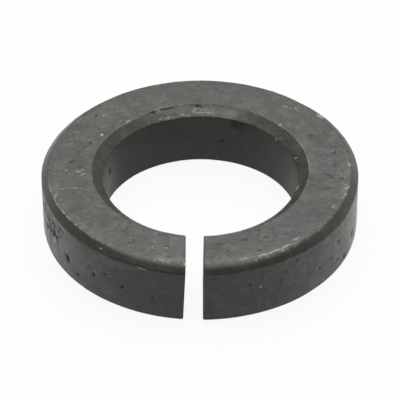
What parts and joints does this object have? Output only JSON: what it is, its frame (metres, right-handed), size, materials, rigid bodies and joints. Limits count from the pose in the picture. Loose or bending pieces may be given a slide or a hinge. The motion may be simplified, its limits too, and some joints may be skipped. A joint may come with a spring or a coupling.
{
  "type": "bucket tooth retainer",
  "caption": "Split steel ring with a lead-in bore chamfer that springs into a side pin's groove and locks a digging tooth to its adapter.",
  "frame": {"origin": "centre of the plain back face, on the axis of the bore", "axes": "+Z along the bore axis, from the plain back face to the chamfered face where the pin enters; the saw cut faces -Y"},
  "size_m": [0.05, 0.05, 0.0102],
  "materials": {
    "dark_steel": "dark heat-treated steel, dull, with light worn edges and small pits"
  },
  "bodies": {
    "root": {"retainer": "dark_steel"}
  },
  "joints": []
}
